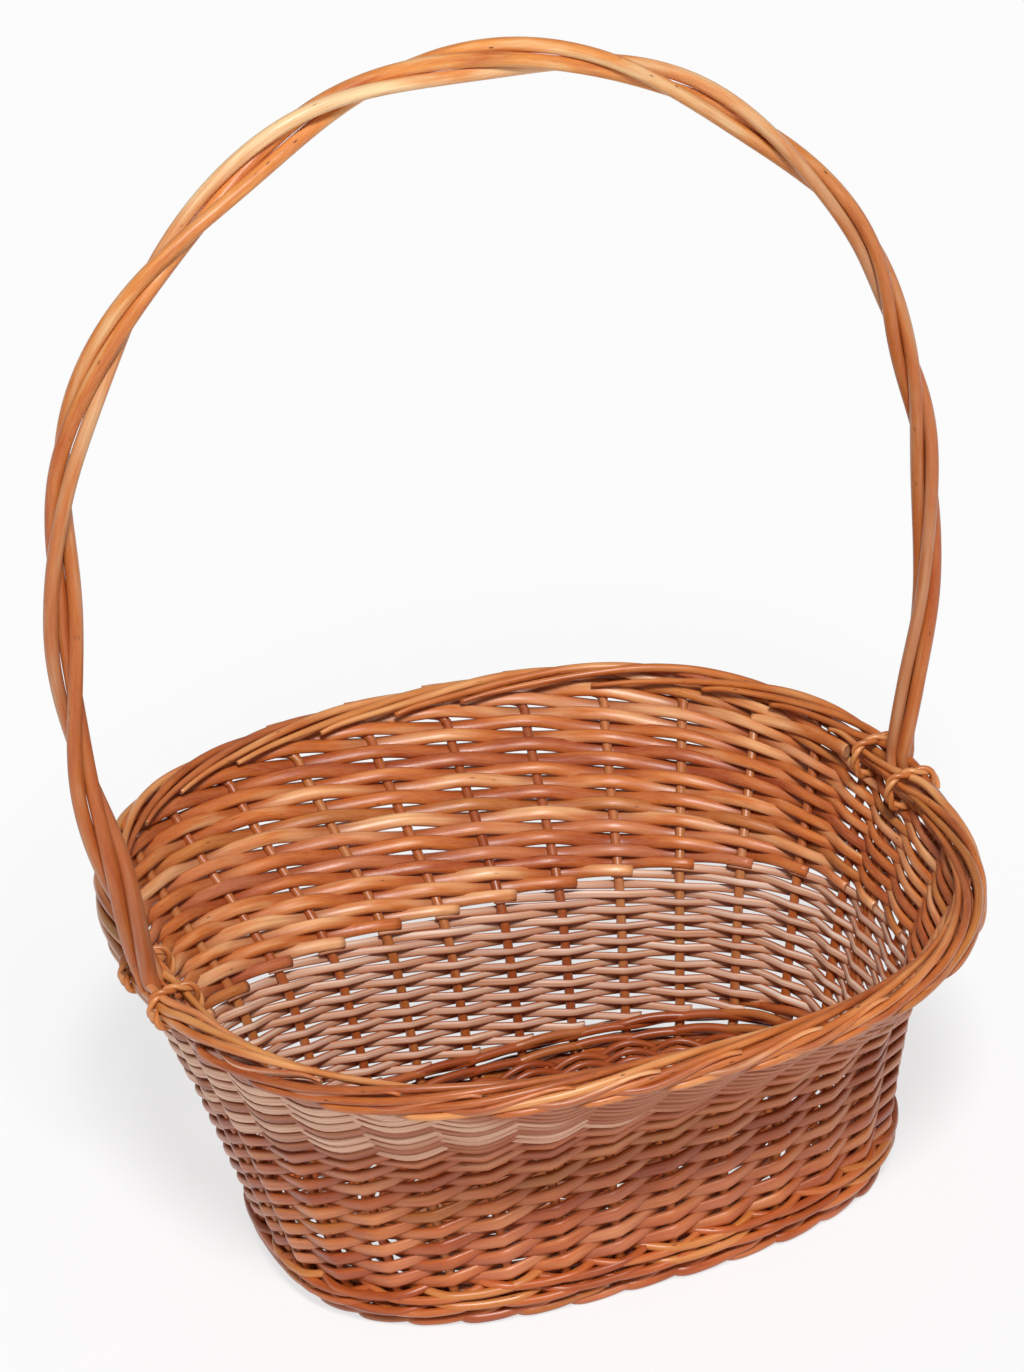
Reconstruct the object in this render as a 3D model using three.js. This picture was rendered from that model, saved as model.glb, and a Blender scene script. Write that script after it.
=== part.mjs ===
// Gift basket of whole and split willow: a rounded basket with flared woven walls,
// a rod border made from the stakes' own tops, and a tall handle of three twisted rods.
// Millimetres, +Z up, floor at z = 0, the whole basket's box centred on x = y = 0.
import * as THREE from 'three';

// Wall: its middle surface, from the floor to the top of the border
const baseHalfWidth = 146;
const baseHalfDepth = 106;
const baseSquareness = 3;
const rimHalfWidth = 199;
const rimHalfDepth = 212;
const rimSquareness = 2.5;
const wallHeight = 174;
const rimDrop = 10;

// The wall stands steep up to its bend and flares above it: shares of the flare below the bend
const bendHeight = 96;
const bendSoftness = 0.12;
const widthFlareBelow = 0.5;
const depthFlareBelow = 0.11;

// Willow sizes
const stakeDiameter = 3.6;
const weaverDiameter = 4.3;
const skeinWidth = 3.9;
const skeinThickness = 2.4;
const upsetDiameter = 4.4;
const baseStickDiameter = 5;
const baseWeaverDiameter = 4.2;
const footDiameter = 6.4;
const handleRodDiameter = 7.3;
const handleTipDiameter = 3.6;
const handleSeatDiameter = 5.2;
const tieDiameter = 3.2;
const clearance = 0.4;

// Stakes: counted in pairs, so that two weavers can chase each other round
const stakePairs = 16;
const stakeCount = 2 * stakePairs;
const stakeStart = 0.5;
const handleSeat = 0.75;
const stakeFootReach = 28;

// Woven rows: height of the first row, height of the last row, rounds of each of the two weavers
const upsetRows = { first: 14, last: 28.4, rounds: 1 };
const paleRows = { first: 25.4, last: 98.6, rounds: 7 };
const brownRows = { first: 94.8, last: 154, rounds: 6 };

// Border: each stake's top runs on past six more stakes. Each step is
// [stakes passed, out from the wall, up from the rim], plain and where it opens for the handle.
const borderLevel = 12;
const borderPlain = [
  [0, 0, -17], [0.25, 2.2, -13.6], [0.5, 4.2, -11.8], [1, 5.8, -10.0], [2, 6.8, -5.6],
  [3, 3.7, -2.0], [3.5, 0.4, -1.4], [4, -0.6, -1.8], [5, -4.8, -3.2], [6, -6.4, -7.4],
];
const borderOpen = [
  [0, 0, -17], [0.25, 2.2, -13.6], [0.5, 3.9, -12.2], [1, 5.6, -10.6], [2, 7.6, -7.0],
  [3, 7.0, -2.9], [3.5, 5.6, -0.7], [4, -5.2, -0.9], [5, -6.9, -4.9], [6, -6.6, -10.4],
];
const openFull = 0.35;
const openNone = 0.95;

// Base: three long sticks through five short ones, then rounds of weaving
const longSticks = 3;
const longStickSpacing = 9;
const shortSticks = 5;
const shortStickSpacing = 22;
const slathHalfWidth = 72;
const slathHalfDepth = 24;
const slathSquareness = 2.2;
const innerBaseRounds = 4;
const innerEdgeRows = 1.5;
const outerBaseRounds = 1.5;
const baseEdgeInset = 9.6;
const baseRowPitch = 4.35;

// Handle: shares of its half width and of its rise above the rim, from the right foot to the left
const handleHalfWidth = 227;
const handleRise = 425;
const handleTurns = 3;
const handleRods = 3;
const handleTailEnd = 18;
const handleShape = [
  [0.94, 0.07], [0.99, 0.19], [1.01, 0.37], [0.98, 0.5], [0.92, 0.63], [0.78, 0.75],
  [0.55, 0.875], [0.3, 0.955], [0, 0.998], [-0.28, 0.992], [-0.53, 0.93], [-0.77, 0.825],
  [-0.93, 0.69], [-0.985, 0.5], [-0.99, 0.33], [-0.95, 0.18],
];

// Faces round each kind of rod
const roundSides = 5;
const handleSides = 5;
const ringSteps = 360;

const stakeRadius = stakeDiameter / 2;
const baseLevel = footDiameter * Math.cos(Math.PI / 6) + stakeRadius + clearance;

const mix = (a, b, share) => a + (b - a) * share;

function ease(share) {
  const s = Math.min(1, Math.max(0, share));
  return s * s * (3 - 2 * s);
}

// A rounded rectangle's point at an angle
function ovalPoint(halfWidth, halfDepth, squareness, angle) {
  const c = Math.cos(angle);
  const s = Math.sin(angle);
  const power = 2 / squareness;
  return [
    halfWidth * Math.sign(c) * Math.abs(c) ** power,
    halfDepth * Math.sign(s) * Math.abs(s) ** power,
  ];
}

// Points of a rounded rectangle with the distance walked to each, kept for reuse
const ovals = new Map();
function walkedOval(halfWidth, halfDepth, squareness) {
  const key = [halfWidth, halfDepth, squareness].map((v) => v.toFixed(3)).join(' ');
  if (!ovals.has(key)) {
    const points = [];
    let walked = 0;
    for (let i = 0; i <= ringSteps; i += 1) {
      const [x, y] = ovalPoint(halfWidth, halfDepth, squareness, (i / ringSteps) * 2 * Math.PI);
      if (i > 0) walked += Math.hypot(x - points[i - 1].x, y - points[i - 1].y);
      points.push({ x, y, walked });
    }
    ovals.set(key, points);
  }
  return ovals.get(key);
}

// The point a share of the way round a rounded rectangle, anticlockwise from +X
function alongOval(halfWidth, halfDepth, squareness, turnShare) {
  const points = walkedOval(halfWidth, halfDepth, squareness);
  const share = turnShare - Math.floor(turnShare);
  const target = share * points[ringSteps].walked;
  let low = 0;
  let high = ringSteps;
  while (high - low > 1) {
    const middle = (low + high) >> 1;
    if (points[middle].walked > target) high = middle;
    else low = middle;
  }
  const span = points[high].walked - points[low].walked;
  const part = (target - points[low].walked) / span;
  return [mix(points[low].x, points[high].x, part), mix(points[low].y, points[high].y, part)];
}

// The share of the flare reached at a share of the wall's height: two slopes with a soft bend
function flare(share, below) {
  const bend = bendHeight / wallHeight;
  const low = below / bend;
  const high = (1 - below) / (1 - bend);
  const past = (s) => (bendSoftness / 2) * Math.log1p(Math.exp((2 * (s - bend)) / bendSoftness));
  const reach = (s) => low * s + (high - low) * (past(s) - past(0));
  return reach(share) / reach(1);
}

// The wall's middle surface: around counts stake spacings from +X
function wallSurface(around, height) {
  const share = height / wallHeight;
  const [x, y] = alongOval(
    mix(baseHalfWidth, rimHalfWidth, flare(share, widthFlareBelow)),
    mix(baseHalfDepth, rimHalfDepth, flare(share, depthFlareBelow)),
    mix(baseSquareness, rimSquareness, share),
    around / stakeCount,
  );
  const drop = rimDrop * share * share * (x / rimHalfWidth);
  return new THREE.Vector3(x, y, height - drop);
}

// The wall's point with its outward and upward directions
function wallFrame(around, height) {
  const point = wallSurface(around, height);
  const nudge = 0.15;
  const along = wallSurface(around + nudge, height).sub(wallSurface(around - nudge, height));
  const up = wallSurface(around, height + 2).sub(wallSurface(around, height - 2)).normalize();
  const out = along.cross(up).normalize();
  return { point, out, up };
}

function offWall(around, height, outward) {
  const frame = wallFrame(around, height);
  return frame.point.addScaledVector(frame.out, outward);
}

// A point beside the rim: outward is level, rise counts from the top of the border
function besideRim(around, outward, rise) {
  const height = Math.min(wallHeight - borderLevel, wallHeight + rise);
  const frame = wallFrame(around, height);
  const level = new THREE.Vector3(frame.out.x, frame.out.y, 0).normalize();
  const point = frame.point.addScaledVector(level, outward);
  point.z += wallHeight + rise - height;
  return point;
}

// Joins rings of points into one closed body; a loop has no ends
function skin(rings, loop = false) {
  const sides = rings[0].length;
  const positions = rings.flat().flatMap((p) => [p.x, p.y, p.z]);
  const faces = [];
  const spans = loop ? rings.length : rings.length - 1;
  for (let i = 0; i < spans; i += 1) {
    const here = i * sides;
    const next = ((i + 1) % rings.length) * sides;
    for (let j = 0; j < sides; j += 1) {
      const k = (j + 1) % sides;
      faces.push(here + j, here + k, next + k, here + j, next + k, next + j);
    }
  }
  if (!loop) {
    const last = (rings.length - 1) * sides;
    for (let j = 1; j < sides - 1; j += 1) {
      faces.push(0, j + 1, j);
      faces.push(last, last + j, last + j + 1);
    }
  }
  const geometry = new THREE.BufferGeometry();
  geometry.setAttribute('position', new THREE.Float32BufferAttribute(positions, 3));
  geometry.setIndex(faces);
  geometry.computeVertexNormals();
  return geometry;
}

// Corners of a round rod's section, in shares of its radius
function roundSection(sides, turn = 0) {
  return Array.from({ length: sides }, (_, j) => {
    const angle = turn + (j / sides) * 2 * Math.PI;
    return [Math.cos(angle), Math.sin(angle)];
  });
}

// A rod through steps of { point, radius, out }: out is where the section's first axis looks
function rod(steps, section, loop = false) {
  const count = steps.length;
  const rings = steps.map((step, i) => {
    const before = steps[loop ? (i + count - 1) % count : Math.max(0, i - 1)].point;
    const after = steps[loop ? (i + 1) % count : Math.min(count - 1, i + 1)].point;
    const ahead = after.clone().sub(before).normalize();
    const out = step.out.clone().addScaledVector(ahead, -step.out.dot(ahead)).normalize();
    const side = ahead.clone().cross(out);
    const radius = step.radius ?? 1;
    return section.map(([u, v]) => step.point.clone()
      .addScaledVector(out, u * radius)
      .addScaledVector(side, v * radius));
  });
  return skin(rings, loop);
}

// A rod whose section keeps itself from twisting along a bent route
function freeRod(points, radii, sides) {
  const ahead = points.map((p, i) => points[Math.min(points.length - 1, i + 1)].clone()
    .sub(points[Math.max(0, i - 1)]).normalize());
  let out = new THREE.Vector3(0.31, 0.17, 0.93);
  const steps = points.map((point, i) => {
    out = out.clone().addScaledVector(ahead[i], -out.dot(ahead[i])).normalize();
    return { point, radius: radii[i], out };
  });
  return rod(steps, roundSection(sides));
}

// Finishes
const finish = (color, roughness) => new THREE.MeshStandardMaterial({ color, roughness });
const stakeWillow = finish(0xa8602f, 0.6);
const brownWillow = finish(0xc06a30, 0.5);
const paleSkein = finish(0xd6a884, 0.65);
const borderWillow = finish(0xd08a4a, 0.5);
const handleWillow = finish(0xc87a3e, 0.45);
const tieWillow = finish(0xcf965c, 0.55);

const basket = new THREE.Group();
function addPiece(name, geometry, material) {
  const mesh = new THREE.Mesh(geometry, material);
  mesh.name = name;
  basket.add(mesh);
}

// Where the stakes stand, in spacings from +X. Two seats are left to the handle.
const seats = [handleSeat, handleSeat + stakePairs];
const crossings = Array.from({ length: stakeCount }, (_, k) => {
  const isSeat = k % stakePairs === 0;
  return { around: isSeat ? seats[k / stakePairs] : k + stakeStart, isSeat };
});

// How far the border is opened for the handle's rods, from 0 to 1
function openShare(around) {
  const apart = (around - handleSeat) / stakePairs;
  const gap = Math.abs(apart - Math.round(apart)) * stakePairs;
  return 1 - ease((gap - openFull) / (openNone - openFull));
}

// Heights at which a rod in the wall takes a step round the bend
const bendSteps = [-30, -16, -6, 4, 14, 28].map((beside) => bendHeight + beside);

// Stakes: from the base's edge, up the wall and on into the border
function stakeSteps(around) {
  const points = [];
  const level = wallFrame(around, 0).out.setZ(0).normalize();
  for (const reach of [stakeFootReach, stakeRadius]) {
    const foot = wallSurface(around, 0).addScaledVector(level, -reach);
    foot.z = baseLevel;
    points.push(foot);
  }
  for (const height of [baseLevel + stakeDiameter, ...bendSteps, wallHeight - 22]) {
    points.push(wallSurface(around, height));
  }
  borderPlain.forEach(([passed, out, rise], i) => {
    const place = around + passed;
    const open = openShare(place);
    points.push(besideRim(place, mix(out, borderOpen[i][1], open), mix(rise, borderOpen[i][2], open)));
  });
  return points;
}
crossings.filter((c) => !c.isSeat).forEach(({ around }, i) => {
  const points = stakeSteps(around);
  const radii = points.map(() => stakeRadius);
  addPiece(`stake_${String(i + 1).padStart(2, '0')}`, freeRod(points, radii, roundSides), stakeWillow);
});

// Half the room that the handle's three tails take along the wall
const tailSpacing = handleTipDiameter + clearance;
const seatHalfWidth = ((handleRods - 1) / 2) * tailSpacing + 1.6;

// Millimetres along the wall in one stake spacing
function spacingAt(around, height) {
  return wallSurface(around + 0.25, height).distanceTo(wallSurface(around - 0.25, height)) * 2;
}

// Two weavers chase each other round the wall, each in front of one stake and behind the next
function wallWeavers(name, rows, section, halfThickness, material) {
  const pitch = (rows.last - rows.first) / (2 * rows.rounds + 1);
  for (const which of [0, 1]) {
    const steps = [];
    const total = Math.round(rows.rounds * stakeCount);
    for (let i = 0; i < total; i += 1) {
      const crossing = crossings[i % stakeCount];
      const lap = Math.floor(i / stakeCount) * stakeCount;
      const side = (i + which) % 2 === 0 ? 1 : -1;
      const height = rows.first + pitch * (which + (2 * i) / stakeCount);
      const outward = side * (stakeRadius + halfThickness + clearance);
      const room = crossing.isSeat ? seatHalfWidth / spacingAt(crossing.around, height) : 0;
      for (const shift of room ? [-room, room] : [0]) {
        const around = crossing.around + lap + shift;
        const frame = wallFrame(around, height);
        steps.push({ point: offWall(around, height, outward), out: frame.out });
      }
    }
    addPiece(`${name}_${which + 1}`, rod(steps, section), material);
  }
}

const scaled = (section, size) => section.map(([u, v]) => [u * size, v * size]);
const skeinSection = [[1, 1], [-1, 1], [-1, -1], [1, -1]]
  .map(([u, v]) => [u * skeinThickness / 2, v * skeinWidth / 2]);
wallWeavers('upset_weaver', upsetRows, scaled(roundSection(roundSides), upsetDiameter / 2),
  upsetDiameter / 2, brownWillow);
wallWeavers('pale_weaver', paleRows, skeinSection, skeinThickness / 2, paleSkein);
wallWeavers('brown_weaver', brownRows, scaled(roundSection(roundSides), weaverDiameter / 2),
  weaverDiameter / 2, brownWillow);

// Foot: a rod right round under the stakes, with a flat face down
const footRadius = footDiameter / 2;
const footLevel = footRadius * Math.cos(Math.PI / 6);
const footSteps = Array.from({ length: stakeCount * 1.25 }, (_, i) => {
  const around = i / 1.25;
  const point = wallSurface(around, 0).setZ(footLevel);
  const out = wallFrame(around, 0).out.setZ(0).normalize();
  return { point, out, radius: footRadius };
});
addPiece('foot_rod', rod(footSteps, roundSection(6), true), brownWillow);

// Base sticks: the short ones arch over the long ones in the middle
const stickRadius = baseStickDiameter / 2;
const baseWeaverRadius = baseWeaverDiameter / 2;
const sticksInset = stakeFootReach + clearance;
const sticksHalfWidth = baseHalfWidth - sticksInset;
const sticksHalfDepth = baseHalfDepth - sticksInset;
const stickHop = baseStickDiameter + clearance;
const slathEdge = ((longSticks - 1) / 2) * longStickSpacing + stickRadius;

// Half the length of a stick that lies off the middle by aside
function stickReach(aside, halfAcross, halfAlong) {
  return halfAlong * (1 - (Math.abs(aside) / halfAcross) ** baseSquareness) ** (1 / baseSquareness);
}
const longPlaces = Array.from({ length: longSticks }, (_, i) => (i - (longSticks - 1) / 2) * longStickSpacing);
const shortPlaces = Array.from({ length: shortSticks }, (_, i) => (i - (shortSticks - 1) / 2) * shortStickSpacing);
longPlaces.forEach((y, i) => {
  const reach = stickReach(y, sticksHalfDepth, sticksHalfWidth);
  const points = [-1, 0, 1].map((end) => new THREE.Vector3(end * reach, y, baseLevel));
  addPiece(`base_long_stick_${i + 1}`, freeRod(points, [1, 1, 1].map(() => stickRadius), 6), stakeWillow);
});
shortPlaces.forEach((x, i) => {
  const reach = stickReach(x, sticksHalfWidth, sticksHalfDepth);
  const route = [
    [-reach, 0], [-slathEdge - 8, 0], [-slathEdge, stickHop], [slathEdge, stickHop],
    [slathEdge + 8, 0], [reach, 0],
  ];
  const points = route.map(([y, hop]) => new THREE.Vector3(x, y, baseLevel + hop));
  addPiece(`base_short_stick_${i + 1}`, freeRod(points, route.map(() => stickRadius), 6), stakeWillow);
});

// Inner base weaving: where one round crosses the sticks' ends. The long sticks count as one.
function slathCrossings(halfWidth, halfDepth, squareness) {
  const longEnd = (y) => halfWidth * (1 - (Math.abs(y) / halfDepth) ** squareness) ** (1 / squareness);
  const shortEnd = (x) => halfDepth * (1 - (Math.abs(x) / halfWidth) ** squareness) ** (1 / squareness);
  const edge = longPlaces[longSticks - 1] + stickRadius;
  const ends = [
    [[longEnd(edge), -edge], [longEnd(edge), edge]],
    [[-longEnd(edge), edge], [-longEnd(edge), -edge]],
    ...shortPlaces.flatMap((x) => [[[x, shortEnd(x)]], [[x, -shortEnd(x)]]]),
  ];
  const turnOf = ([x, y]) => (Math.atan2(y / halfDepth, x / halfWidth) + 2 * Math.PI) % (2 * Math.PI);
  return ends
    .map((points) => ({ points, from: turnOf(points[0]), to: turnOf(points[points.length - 1]) }))
    .sort((a, b) => a.to - b.to);
}
const up = new THREE.Vector3(0, 0, 1);
const innerEnds = 2 * (1 + shortSticks);
const outerRowsInset = baseEdgeInset + (2 * outerBaseRounds + 1) * baseRowPitch;
const innerRows = 2 * innerBaseRounds;
for (const which of [0, 1]) {
  const steps = [];
  const total = innerBaseRounds * innerEnds;
  for (let i = 0; i < total; i += 1) {
    const row = which + (2 * i) / innerEnds;
    const share = row / (innerRows + innerEdgeRows);
    const halfWidth = mix(slathHalfWidth, sticksHalfWidth, share);
    const halfDepth = mix(slathHalfDepth, sticksHalfDepth, share);
    const squareness = mix(slathSquareness, baseSquareness, share);
    const ends = slathCrossings(halfWidth, halfDepth, squareness);
    const here = ends[i % innerEnds];
    const next = ends[(i + 1) % innerEnds];
    const side = (i + which) % 2 === 0 ? 1 : -1;
    const lift = side * (stickRadius + baseWeaverRadius + clearance);
    here.points.forEach(([x, y]) => steps.push({ point: new THREE.Vector3(x, y, baseLevel + lift), out: up }));
    const turnGap = (next.from - here.to + 2 * Math.PI) % (2 * Math.PI);
    const bends = turnGap > 0.5 ? 2 : 0;
    for (let b = 1; b <= bends; b += 1) {
      const part = b / (bends + 1);
      const turn = here.to + turnGap * part;
      const size = (Math.abs(Math.cos(turn)) ** squareness + Math.abs(Math.sin(turn)) ** squareness)
        ** (-1 / squareness);
      const point = new THREE.Vector3(
        halfWidth * size * Math.cos(turn),
        halfDepth * size * Math.sin(turn),
        baseLevel + lift * (1 - 2 * part),
      );
      steps.push({ point, out: up });
    }
  }
  const section = scaled(roundSection(4, Math.PI / 4), baseWeaverRadius);
  addPiece(`base_weaver_${which + 1}`, rod(steps, section), brownWillow);
}

// Outer base weaving: the last rounds bind the stakes' feet
for (const which of [0, 1]) {
  const steps = [];
  for (let i = 0; i < outerBaseRounds * stakeCount; i += 1) {
    const crossing = crossings[i % stakeCount];
    const inset = outerRowsInset - baseRowPitch * (which + (2 * i) / stakeCount);
    const side = (i + which) % 2 === 0 ? 1 : -1;
    const level = wallFrame(crossing.around, 0).out.setZ(0).normalize();
    const point = wallSurface(crossing.around, 0).addScaledVector(level, -inset);
    point.z = baseLevel + side * (stakeRadius + baseWeaverRadius + clearance);
    steps.push({ point, out: up });
  }
  const section = scaled(roundSection(4, Math.PI / 4), baseWeaverRadius);
  addPiece(`base_binder_${which + 1}`, rod(steps, section), brownWillow);
}

// Handle: one middle line from the foot of the right tail, over the top, to the left one
const seatPoint = besideRim(handleSeat, 0, 0);
const acrossHandle = new THREE.Vector3(seatPoint.x, seatPoint.y, 0).normalize();
const besideHandle = wallFrame(handleSeat, wallHeight).out.setZ(0).cross(new THREE.Vector3(0, 0, -1)).normalize();
function tailPoints(around) {
  const heights = [handleTailEnd, ...bendSteps, wallHeight - 32, wallHeight - 20];
  const points = heights.map((height) => wallSurface(around, height));
  points.push(besideRim(around, 0, -6), besideRim(around, 0, 6));
  return points;
}
const handleMiddle = new THREE.CatmullRomCurve3([
  ...tailPoints(seats[0]),
  ...handleShape.map(([across, rise]) => acrossHandle.clone()
    .multiplyScalar(across * handleHalfWidth)
    .setZ(wallHeight + rise * handleRise)),
  ...tailPoints(seats[1]).reverse(),
], false, 'centripetal');
handleMiddle.arcLengthDivisions = 2000;

const handleStep = 25;
const handleLength = handleMiddle.getLength();
const handleSteps = Math.round(handleLength / handleStep);
const rimAt = (point) => besideRim(point.dot(acrossHandle) > 0 ? seats[0] : seats[1], 0, 0).z;
const twistFrom = 55;
const lineUpFrom = 10;
const gripRadius = handleRodDiameter / 2;

// Lengths along the middle line where each foot leaves the border
let footLength = 0;
let endLength = handleLength;
for (let i = 0; i <= 400; i += 1) {
  const point = handleMiddle.getPointAt(i / 400);
  if (point.z < rimAt(point)) {
    if (i < 200) footLength = (handleLength * i) / 400;
    else endLength = Math.min(endLength, (handleLength * i) / 400);
  }
}

// The three rods' places around the middle line at one length along it
function handleFrame(length) {
  const share = Math.min(1, Math.max(0, length / handleLength));
  const point = handleMiddle.getPointAt(share);
  const ahead = handleMiddle.getTangentAt(share);
  const outward = ahead.clone().cross(besideHandle).normalize();
  const above = Math.min(length - footLength, endLength - length);
  const swell = ease((above + 5) / 26);
  const seatSwell = ease((above + 30) / 22);
  const radius = mix(mix(handleTipDiameter, handleSeatDiameter, seatSwell) / 2, gripRadius, swell);
  const apart = 2 * radius + clearance + 0.1;
  const gather = ease((above - lineUpFrom) / (twistFrom - lineUpFrom)) * (Math.PI / 3);
  const twistLength = endLength - footLength - 2 * twistFrom;
  const twist = ease((length - footLength - twistFrom) / twistLength) * 0.25
    + Math.min(1, Math.max(0, (length - footLength - twistFrom) / twistLength)) * 0.75;
  const beside = outward.clone().cross(ahead).normalize();
  return { point, outward, beside, radius, apart, gather, turn: twist * handleTurns * 2 * Math.PI };
}
for (let which = 0; which < handleRods; which += 1) {
  const points = [];
  const radii = [];
  for (let i = 0; i <= handleSteps; i += 1) {
    const frame = handleFrame((handleLength * i) / handleSteps);
    const place = which - (handleRods - 1) / 2;
    const sideways = place * frame.apart * Math.cos(frame.gather);
    const outwards = frame.apart * Math.sin(frame.gather) * (place === 0 ? -2 / 3 : 1 / 3);
    const c = Math.cos(frame.turn);
    const s = Math.sin(frame.turn);
    points.push(frame.point.clone()
      .addScaledVector(frame.beside, sideways * c - outwards * s)
      .addScaledVector(frame.outward, sideways * s + outwards * c));
    radii.push(frame.radius);
  }
  addPiece(`handle_rod_${which + 1}`, freeRod(points, radii, handleSides), handleWillow);
}

// Ties: a loop of thin willow round the border on each side of each handle foot
const tieRadius = tieDiameter / 2;
const tieApart = 0.5;
const tieSteps = 14;
const borderHalfWidth = 9.2;
const borderTop = 0.6;
const borderBottom = -13.9;
const tieHalfWidth = borderHalfWidth + clearance + tieRadius;
const tieHalfHeight = (borderTop - borderBottom) / 2 + clearance + tieRadius;
seats.forEach((seat, i) => {
  [-1, 1].forEach((side, j) => {
    const around = seat + side * tieApart;
    const middle = besideRim(around, 0, (borderTop + borderBottom) / 2);
    const steps = Array.from({ length: tieSteps }, (_, k) => {
      const [out, rise] = ovalPoint(tieHalfWidth, tieHalfHeight, 3.2, (k / tieSteps) * 2 * Math.PI);
      const point = besideRim(around, out, (borderTop + borderBottom) / 2 + rise);
      return { point, out: point.clone().sub(middle), radius: tieRadius };
    });
    addPiece(`tie_${2 * i + j + 1}`, rod(steps, roundSection(roundSides), true), tieWillow);
  });
});

// Centre the whole basket's box
const middle = new THREE.Box3().setFromObject(basket).getCenter(new THREE.Vector3());
basket.children.forEach((mesh) => mesh.geometry.translate(-middle.x, -middle.y, 0));

export default basket;
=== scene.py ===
# Gift basket of whole and split willow, woven up from its base as a basket maker works.
import math
import random
import bmesh
import bpy
import numpy as np
from mathutils import Matrix, Vector


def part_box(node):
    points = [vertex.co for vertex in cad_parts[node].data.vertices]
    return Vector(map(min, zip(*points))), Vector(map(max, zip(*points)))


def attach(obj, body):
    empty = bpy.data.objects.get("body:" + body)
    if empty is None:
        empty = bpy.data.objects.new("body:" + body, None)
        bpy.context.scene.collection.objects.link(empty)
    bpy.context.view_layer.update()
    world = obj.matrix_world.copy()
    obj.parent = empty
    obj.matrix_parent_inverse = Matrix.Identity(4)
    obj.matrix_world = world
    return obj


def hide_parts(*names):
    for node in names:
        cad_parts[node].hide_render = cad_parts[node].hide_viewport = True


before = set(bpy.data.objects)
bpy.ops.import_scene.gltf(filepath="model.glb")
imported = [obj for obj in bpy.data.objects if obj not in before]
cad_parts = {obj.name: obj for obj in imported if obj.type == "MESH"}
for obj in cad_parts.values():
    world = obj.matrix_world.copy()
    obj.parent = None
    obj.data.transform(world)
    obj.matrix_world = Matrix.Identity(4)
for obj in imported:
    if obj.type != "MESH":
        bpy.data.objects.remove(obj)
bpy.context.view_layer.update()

# Camera: far off with a long lens, above the front of the basket and to the left of it,
# turned a little on its own axis, so the basket seems to lean to the left.
foot_low, foot_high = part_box("foot_rod")
basket_middle = Vector(((foot_low[0] + foot_high[0]) / 2, (foot_low[1] + foot_high[1]) / 2, 0))
view_turn = 0.2885
view_height = 0.49
view_lean = -0.1188
view_distance = 5.3296
view_aside = -0.00105
view_rise = 0.2424
ahead = Vector((
    math.cos(view_height) * math.sin(view_turn),
    math.cos(view_height) * math.cos(view_turn),
    -math.sin(view_height),
))
level = Vector((math.cos(view_turn), -math.sin(view_turn), 0))
upward = level.cross(ahead)
right = level * math.cos(view_lean) + upward * math.sin(view_lean)
top = upward * math.cos(view_lean) - level * math.sin(view_lean)
lens = bpy.data.cameras.new("camera")
lens.sensor_fit = "VERTICAL"
lens.sensor_height = 36
lens.lens = 289.6
lens.clip_end = 100
camera = bpy.data.objects.new("camera", lens)
standpoint = basket_middle + level * view_aside + upward * view_rise - ahead * view_distance
camera.matrix_world = Matrix.Translation(standpoint) @ Matrix((right, top, -ahead)).transposed().to_4x4()
bpy.context.scene.collection.objects.link(camera)
bpy.context.scene.camera = camera

# Stakes and border: thirty upright rods of whole willow. Each starts under the base, bends up
# through the wall and ends in the border, where it is laid over its neighbours from the
# outside to the inside and cut off.
mm = 0.001
middle_mm = np.array([basket_middle.x, basket_middle.y, 0]) / mm
base_half = (145, 105)
rim_half = (199, 212)
base_squareness = 2.75
rim_squareness = 2.5
rim_drop = 10
wall_height = 174
bend_height = 96
bend_softness = 0.09
flare_below = (0.5, 0.08)
stake_count = 32
handle_seat = 0.75
handle_apart = 16
base_level = 7.74
stake_radius = 2.5
border_radius = 2.2
border_root = 12


def flare(share, below):
    """How far out the wall has come at a share of its height: steep first, then flared"""
    bend = bend_height / wall_height
    low = below / bend
    high = (1 - below) / (1 - bend)

    def past(s):
        return bend_softness / 2 * np.log1p(np.exp(2 * (s - bend) / bend_softness))

    def reach(s):
        return low * s + (high - low) * (past(s) - past(0))

    return reach(share) / reach(1)


def walked_length(line):
    """The length walked along a line from its start to each of its points"""
    return np.concatenate(([0], np.cumsum(np.linalg.norm(np.diff(line, axis=0), axis=1))))


def even_steps(line, steps):
    """The same line in even steps; values after the first three columns go along with it"""
    walked = walked_length(line[:, :3])
    even = np.linspace(0, walked[-1], steps)
    return np.stack([np.interp(even, walked, column) for column in line.T], -1)


table_low = -8
table_high = 212
table_rise = 2.0
table_steps = 1024
oval_points = 1441
table_heights = np.arange(table_low, table_high + 1, table_rise)
table_angles = np.linspace(0, 2 * math.pi, oval_points)
wall_table = []
for height in table_heights:
    share = height / wall_height
    half_width = base_half[0] + (rim_half[0] - base_half[0]) * flare(share, flare_below[0])
    half_depth = base_half[1] + (rim_half[1] - base_half[1]) * flare(share, flare_below[1])
    power = 2 / (base_squareness + (rim_squareness - base_squareness) * share)
    oval_x = half_width * np.sign(np.cos(table_angles)) * np.abs(np.cos(table_angles)) ** power
    oval_y = half_depth * np.sign(np.sin(table_angles)) * np.abs(np.sin(table_angles)) ** power
    wall_table.append(even_steps(np.stack((oval_x, oval_y), -1), table_steps + 1))
wall_table = np.array(wall_table)


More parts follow.
